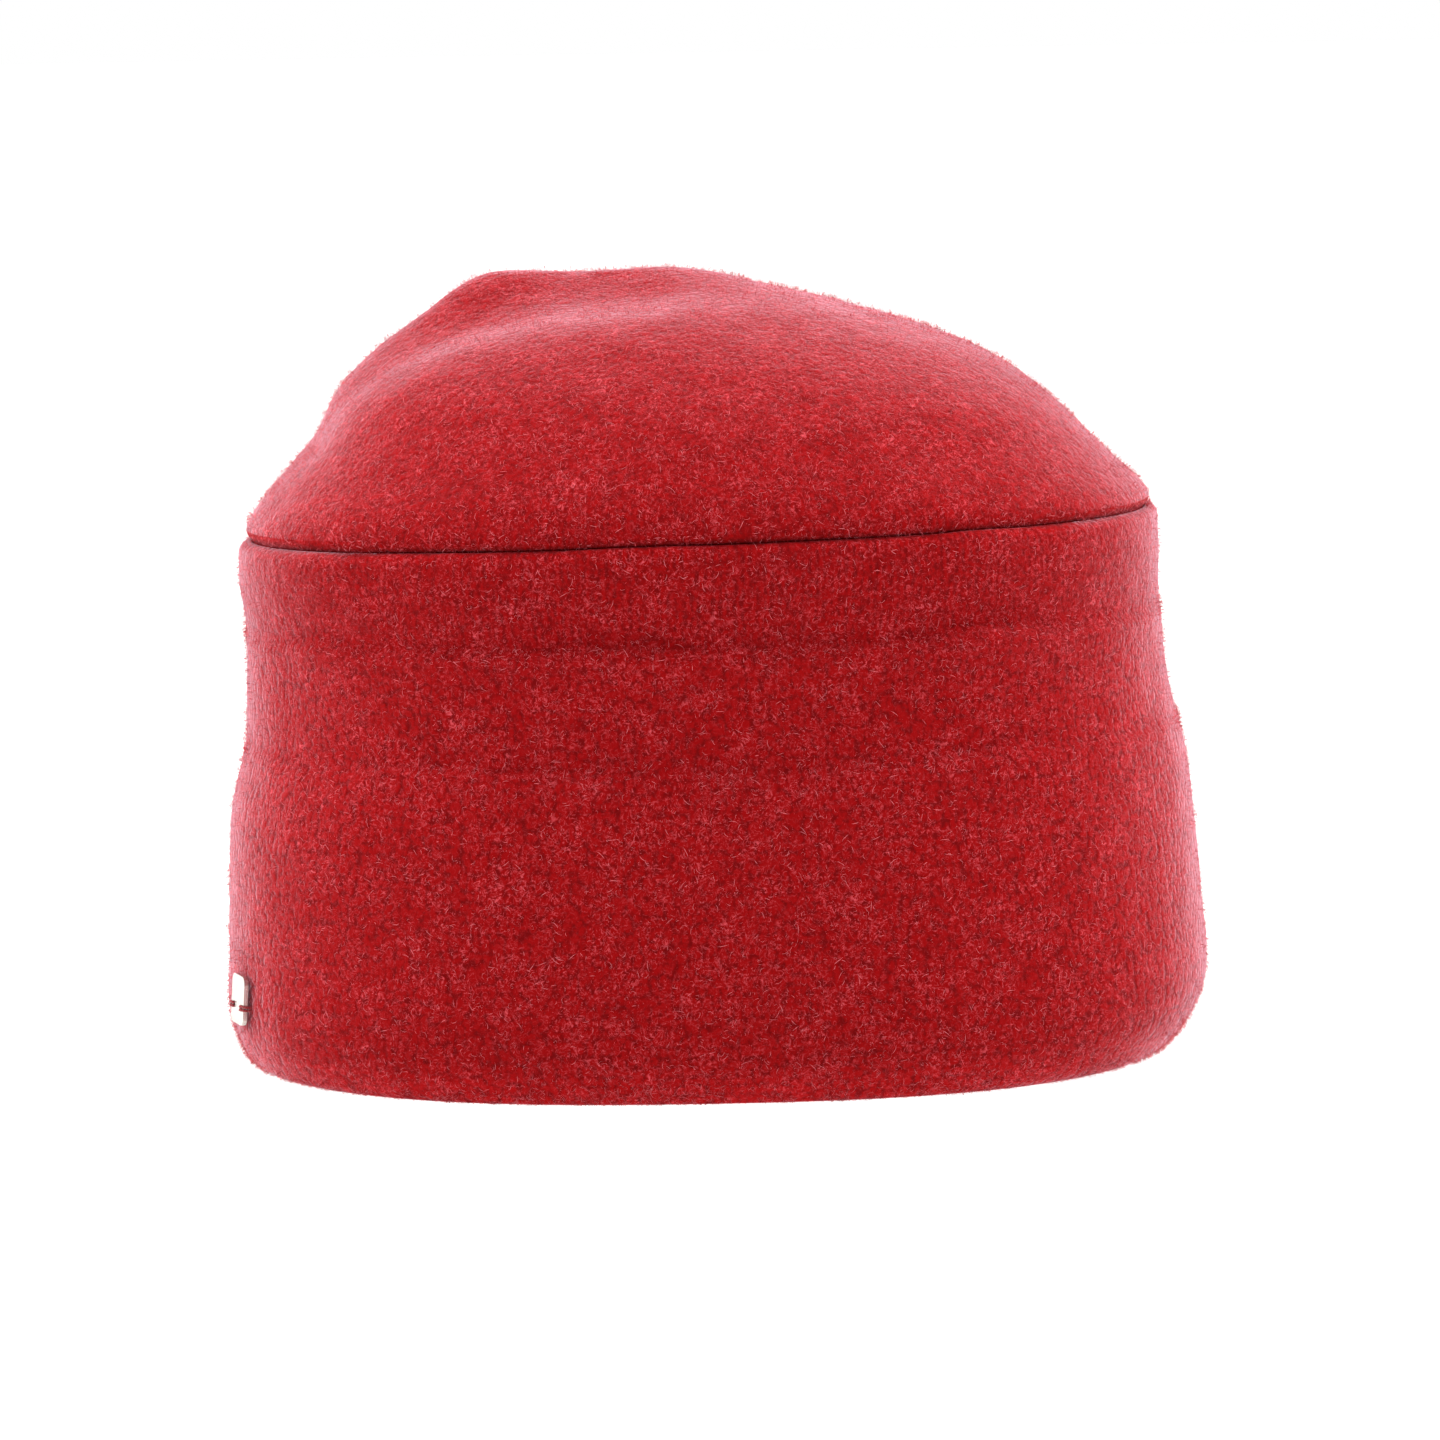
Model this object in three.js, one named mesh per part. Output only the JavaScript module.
// Felted wool beanie: a low slumped crown over a deep cuff, with a small plain plate sewn on near the rim.
// Millimetres. +Z is up and the rim rests on z = 0. +X runs along the length of the head.

import * as THREE from "three";
import { LoftGeometry } from "three/addons/geometries/LoftGeometry.js";

// Driving sizes
const FELT = 3.2; // one layer of felted knit
const PIECE_GAP = 0.3; // air between two pieces
const POINTS_AROUND = 56; // points on each oval ring
const OUTER_SPACING = 6; // height between two rings on an outer face
const INNER_SPACING = 10; // height between two rings on an inner face
const CORNER_STEPS = 3; // rings along a quarter turn of a rounded edge
const LEAN = 0.0002; // share of its height that the hat gains for each millimetre towards +X
const SAG = 0.0000012; // share that it loses towards both ends, for each square millimetre

// Cuff
const CUFF_HEIGHT = 110.6; // floor to the top of the lip
const HEM_HEIGHT = 62; // top of the layer that is turned in at the rim
const HEM_ROUND = 2.4; // rounding of the turned-in layer's raw edge
const RIM_ROUND = 3.4; // rounding of the rim fold outside
const RIM_INNER_ROUND = 0.8; // rounding of the rim fold inside
const LIP_ROUND = 2.6; // rounding of the lip's outer shoulder
const LIP_INNER_ROUND = FELT - LIP_ROUND; // rounding of the lip towards the crown

// Crown
const EDGE = FELT / 2; // rounding of a single layer's edge
const SKIRT_HEIGHT = 99; // lower edge of the seam allowance inside the cuff
const SKIRT_END = SKIRT_HEIGHT + EDGE; // where that edge starts to round
const SKIRT_TOP = CUFF_HEIGHT - LIP_INNER_ROUND; // where the seam allowance leaves the cuff's inner face
const SKIRT_SPACING = 4; // height between two rings where crown and cuff lie against each other
const CROWN_RINGS = 17; // rings on each face of the dome
const CROWN_CROWDING = 1.4; // above 1, the rings lie closer together towards the crown's lower edge
const FOLD_START = 116; // height where the folds start to show
const FOLD_FULL = 132; // height where the folds have their full depth

// Plate
const PLATE_WIDTH = 8.8;
const PLATE_HEIGHT = 10;
const PLATE_THICKNESS = 0.9;
const PLATE_CORNER = 1.6;
const PLATE_HOLE = 0.7; // radius of a sewing hole
const PLATE_HOLE_SPACING = 5; // between the two holes
const PLATE_HOLE_DROP = 1.4; // of the holes below the plate's middle
const PLATE_CENTRE_HEIGHT = 15.8;
const PLATE_TURN = THREE.MathUtils.degToRad(203.3); // place around the rim, from +X

// Outer face of the cuff, at each height: where the four sides of its oval lie, and the oval's power,
// where 2 is an ellipse and a higher power is squarer.
const CUFF_SECTIONS = [
  { height: 0, left: -101.0, right: 95.4, front: -84.4, back: 84.4, power: 2.5 },
  { height: 7, left: -102.2, right: 99.8, front: -85.4, back: 85.4, power: 2.5 },
  { height: 16, left: -102.4, right: 102.4, front: -86.0, back: 86.0, power: 2.4 },
  { height: 30, left: -102.0, right: 101.3, front: -85.4, back: 85.0, power: 2.3 },
  { height: 50, left: -101.6, right: 99.5, front: -84.6, back: 84.0, power: 2.2 },
  { height: 58, left: -100.6, right: 98.6, front: -83.8, back: 83.2, power: 2.15 },
  { height: 66, left: -97.8, right: 96.8, front: -82.0, back: 81.6, power: 2.15 },
  { height: 74, left: -97.4, right: 94.6, front: -80.9, back: 80.8, power: 2.15 },
  { height: 84, left: -97.1, right: 93.6, front: -80.6, back: 80.6, power: 2.15 },
  { height: 88, left: -97.1, right: 93.4, front: -81.4, back: 80.6, power: 2.15 },
  { height: 93, left: -97.2, right: 93.1, front: -80.8, back: 80.8, power: 2.15 },
  { height: 102, left: -98.8, right: 93.5, front: -82.0, back: 82.0, power: 2.15 },
  { height: 110.6, left: -98.4, right: 93.2, front: -81.8, back: 81.8, power: 2.15 },
];

// Outer face of the crown, from its lower edge (rise 0) to its top (rise 1).
const CROWN_SECTIONS = [
  { rise: 0.0, height: 111.2, left: -95.2, right: 90.0, front: -78.6, back: 78.6, power: 2.15 },
  { rise: 0.02, height: 112.2, left: -96.0, right: 90.7, front: -79.6, back: 79.6, power: 2.15 },
  { rise: 0.06, height: 114.6, left: -96.1, right: 90.4, front: -79.9, back: 79.9, power: 2.15 },
  { rise: 0.15, height: 119.5, left: -92.7, right: 84.7, front: -77.0, back: 77.4, power: 2.15 },
  { rise: 0.26, height: 126, left: -87.6, right: 78.2, front: -71.0, back: 73.5, power: 2.1 },
  { rise: 0.38, height: 133, left: -82.2, right: 71.0, front: -63.5, back: 69.0, power: 2.1 },
  { rise: 0.5, height: 140, left: -79.2, right: 61.0, front: -53.0, back: 63.0, power: 2.1 },
  { rise: 0.62, height: 147, left: -72.8, right: 46.6, front: -39.5, back: 55.0, power: 2.05 },
  { rise: 0.74, height: 153, left: -62.6, right: 28.4, front: -25.0, back: 46.0, power: 2.0 },
  { rise: 0.85, height: 157.6, left: -54.2, right: 9.6, front: -10.0, back: 37.0, power: 2.0 },
  { rise: 0.94, height: 160.8, left: -49.4, right: -2.4, front: 2.0, back: 28.0, power: 2.0 },
  { rise: 1.0, height: 161.8, left: -45.4, right: -9.4, front: 9.0, back: 22.0, power: 2.0 },
];

// Slumped folds of the crown: a line on the floor plan, how far it lifts or sinks, and its half width.
const CROWN_FOLDS = [
  { fromX: -89.4, fromY: -8, toX: -19.4, toY: -2, lift: -4.4, spread: 15 },
  { fromX: -53.4, fromY: 13, toX: -43.4, toY: 15, lift: 1.6, spread: 9 },
  { fromX: -5.4, fromY: 9, toX: 2.6, toY: 9, lift: 1.0, spread: 9 },
];

const QUARTER = Math.PI / 2; // quarter turn

const felt = new THREE.MeshStandardMaterial({ color: 0xb0242f, roughness: 0.95, metalness: 0 });
const nickel = new THREE.MeshStandardMaterial({ color: 0xd9dad6, roughness: 0.3, metalness: 1 });

// Slope of a table's column at one of its rows, along its key column
function slopeAt(rows, index, key, column) {
  const before = rows[Math.max(index - 1, 0)];
  const after = rows[Math.min(index + 1, rows.length - 1)];
  return (after[column] - before[column]) / (after[key] - before[key]);
}

// Smoothly blended row of a table, at a value of its key column
function rowAt(rows, key, value) {
  const above = rows.findIndex((row, index) => index > 0 && value <= row[key]);
  const end = above < 0 ? rows.length - 1 : above;
  const start = end - 1;
  const span = rows[end][key] - rows[start][key];
  const t = THREE.MathUtils.clamp((value - rows[start][key]) / span, 0, 1);
  const blended = {};
  for (const column of Object.keys(rows[0])) {
    const leave = slopeAt(rows, start, key, column) * span;
    const arrive = slopeAt(rows, end, key, column) * span;
    const change = rows[end][column] - rows[start][column];
    const ease = t * t * (3 - 2 * t);
    blended[column] = rows[start][column] + change * ease
      + leave * t * (1 - t) * (1 - t) - arrive * t * t * (1 - t);
  }
  return blended;
}

// Point on an oval section at a turn from +X, moved outward along the oval's normal
function ovalPoint(section, turn, outward) {
  const across = Math.cos(turn);
  const along = Math.sin(turn);
  const { power } = section;
  const reach = (Math.abs(across) ** power + Math.abs(along) ** power) ** (-1 / power);
  const halfX = (section.right - section.left) / 2;
  const halfY = (section.back - section.front) / 2;
  const normal = new THREE.Vector2(
    Math.sign(across) * Math.abs(across * reach) ** (power - 1) / halfX,
    Math.sign(along) * Math.abs(along * reach) ** (power - 1) / halfY,
  ).normalize();
  const x = (section.right + section.left) / 2 + halfX * reach * across + normal.x * outward;
  const y = (section.back + section.front) / 2 + halfY * reach * along + normal.y * outward;
  return new THREE.Vector3(x, y, section.height * (1 + LEAN * x - SAG * x * x));
}

// Closed ring of points, given by a function of the turn
function ring(pointAtTurn) {
  const points = [];
  for (let i = 0; i < POINTS_AROUND; i += 1) {
    points.push(pointAtTurn((i / POINTS_AROUND) * 2 * Math.PI));
  }
  return points;
}

// Ring shrunk to its middle, which closes the end of a dome
function shrunkRing(points) {
  const middle = new THREE.Vector3();
  for (const point of points) {
    middle.addScaledVector(point, 1 / points.length);
  }
  return points.map(() => middle);
}

// Point of the cuff's wall: a distance outward from its outer face, at a height
function cuffPoint(turn, outward, height) {
  return ovalPoint({ ...rowAt(CUFF_SECTIONS, "height", height), height }, turn, outward);
}

// Rows of a wall's section along a rounded corner, each an outward distance and a height
function cornerRows(outward, height, radius, fromAngle, toAngle) {
  const clockwise = toAngle < fromAngle;
  const steps = Math.round((CORNER_STEPS * Math.abs(toAngle - fromAngle)) / QUARTER);
  const arc = new THREE.EllipseCurve(outward, height, radius, radius, fromAngle, toAngle, clockwise);
  return arc.getPoints(steps).map((point) => ({ outward: point.x, height: point.y }));
}

// Rows of a wall's section straight along its face, without the two end rows
function faceRows(outward, fromHeight, toHeight, spacing) {
  const steps = Math.ceil(Math.abs(toHeight - fromHeight) / spacing);
  const rows = [];
  for (let i = 1; i < steps; i += 1) {
    rows.push({ outward, height: THREE.MathUtils.lerp(fromHeight, toHeight, i / steps) });
  }
  return rows;
}

// Cuff: up its outer face, over the lip, down inside past the turned-in hem and back to the foot
function makeCuff() {
  const double = 2 * FELT;
  const hemInset = -double + HEM_ROUND;
  const rimInset = -double + RIM_INNER_ROUND;
  const rows = [
    ...cornerRows(-RIM_ROUND, RIM_ROUND, RIM_ROUND, -QUARTER, 0),
    ...faceRows(0, RIM_ROUND, CUFF_HEIGHT - LIP_ROUND, OUTER_SPACING),
    ...cornerRows(-LIP_ROUND, CUFF_HEIGHT - LIP_ROUND, LIP_ROUND, 0, QUARTER),
    { outward: -FELT, height: SKIRT_TOP },
    ...faceRows(-FELT, SKIRT_TOP, SKIRT_END, SKIRT_SPACING),
    ...faceRows(-FELT, SKIRT_END, HEM_HEIGHT, INNER_SPACING),
    { outward: -FELT, height: HEM_HEIGHT },
    ...cornerRows(hemInset, HEM_HEIGHT - HEM_ROUND, HEM_ROUND, QUARTER, 2 * QUARTER),
    ...faceRows(-double, HEM_HEIGHT - HEM_ROUND, RIM_INNER_ROUND, INNER_SPACING),
    ...cornerRows(rimInset, RIM_INNER_ROUND, RIM_INNER_ROUND, 2 * QUARTER, 3 * QUARTER),
  ];
  const rings = rows.map((row) => ring((turn) => cuffPoint(turn, row.outward, row.height)));
  const mesh = new THREE.Mesh(new LoftGeometry([...rings, rings[0]]), felt);
  mesh.name = "cuff";
  return mesh;
}

// Distance on the floor plan from a point to a fold's line
function distanceToFold(fold, x, y) {
  const line = new THREE.Line3(
    new THREE.Vector3(fold.fromX, fold.fromY, 0),
    new THREE.Vector3(fold.toX, fold.toY, 0),
  );
  const point = new THREE.Vector3(x, y, 0);
  return point.distanceTo(line.closestPointToPoint(point, true, new THREE.Vector3()));
}

// Point of the crown's outer face, with its folds
function crownPoint(turn, rise) {
  const point = ovalPoint(rowAt(CROWN_SECTIONS, "rise", rise), turn, 0);
  const shown = THREE.MathUtils.smoothstep(point.z, FOLD_START, FOLD_FULL);
  for (const fold of CROWN_FOLDS) {
    const distance = distanceToFold(fold, point.x, point.y);
    point.z += shown * fold.lift * Math.exp(-((distance / fold.spread) ** 2));
  }
  return point;
}

// Point of the crown's inner face, one layer of felt below the outer face
function crownInnerPoint(turn, rise) {
  const nearby = 0.004;
  const below = Math.max(rise - nearby, 0);
  const above = Math.min(rise + nearby, 1);
  const point = crownPoint(turn, rise);
  const around = crownPoint(turn + nearby, rise).sub(crownPoint(turn - nearby, rise));
  const upward = crownPoint(turn, above).sub(crownPoint(turn, below));
  const normal = around.cross(upward).normalize();
  return point.addScaledVector(normal, -FELT);
}

// Crown: down its outer face, along the seam allowance inside the cuff and up its inner face
function makeCrown() {
  const outside = -FELT - PIECE_GAP;
  const inside = outside - FELT;
  const skirtRows = [
    { outward: outside, height: SKIRT_TOP },
    ...faceRows(outside, SKIRT_TOP, SKIRT_END, SKIRT_SPACING),
    ...cornerRows(outside - EDGE, SKIRT_END, EDGE, 0, -2 * QUARTER),
    ...faceRows(inside, SKIRT_END, CUFF_HEIGHT, INNER_SPACING),
    { outward: inside, height: CUFF_HEIGHT },
  ];
  const rises = [];
  for (let i = 0; i < CROWN_RINGS; i += 1) {
    rises.push((i / (CROWN_RINGS - 1)) ** CROWN_CROWDING);
  }
  const outerRings = rises.toReversed().map((rise) => ring((turn) => crownPoint(turn, rise)));
  const innerRings = rises.slice(1).map((rise) => ring((turn) => crownInnerPoint(turn, rise)));
  const rings = [
    shrunkRing(outerRings.at(0)),
    ...outerRings,
    ...skirtRows.map((row) => ring((turn) => cuffPoint(turn, row.outward, row.height))),
    ...innerRings,
    shrunkRing(innerRings.at(-1)),
  ];
  const mesh = new THREE.Mesh(new LoftGeometry(rings.map((points) => points.toReversed())), felt);
  mesh.name = "crown";
  return mesh;
}

// Plain plate with rounded corners and two sewing holes, flat against the cuff
function makePlate() {
  const cornerX = PLATE_WIDTH / 2 - PLATE_CORNER;
  const cornerY = PLATE_HEIGHT / 2 - PLATE_CORNER;
  const outline = new THREE.Shape();
  outline.absarc(cornerX, -cornerY, PLATE_CORNER, -QUARTER, 0);
  outline.absarc(cornerX, cornerY, PLATE_CORNER, 0, QUARTER);
  outline.absarc(-cornerX, cornerY, PLATE_CORNER, QUARTER, 2 * QUARTER);
  outline.absarc(-cornerX, -cornerY, PLATE_CORNER, 2 * QUARTER, 3 * QUARTER);
  for (const side of [-1, 1]) {
    const hole = new THREE.Path();
    hole.absarc((side * PLATE_HOLE_SPACING) / 2, -PLATE_HOLE_DROP, PLATE_HOLE, 0, 2 * Math.PI, true);
    outline.holes.push(hole);
  }
  const geometry = new THREE.ExtrudeGeometry(outline, {
    depth: PLATE_THICKNESS,
    bevelEnabled: false,
    curveSegments: CORNER_STEPS,
  });
  const mesh = new THREE.Mesh(geometry, nickel);
  mesh.name = "side_plate";
  const foot = cuffPoint(PLATE_TURN, 0, PLATE_CENTRE_HEIGHT);
  const outward = cuffPoint(PLATE_TURN, 1, PLATE_CENTRE_HEIGHT).sub(foot);
  const upward = cuffPoint(PLATE_TURN, 0, PLATE_CENTRE_HEIGHT + 1).sub(foot).normalize();
  const sideways = upward.clone().cross(outward).normalize();
  const facing = sideways.clone().cross(upward);
  mesh.setRotationFromMatrix(new THREE.Matrix4().makeBasis(sideways, upward, facing));
  mesh.position.copy(foot).addScaledVector(facing, PIECE_GAP);
  return mesh;
}

const beanie = new THREE.Group();
beanie.add(makeCrown(), makeCuff(), makePlate());

export default beanie;
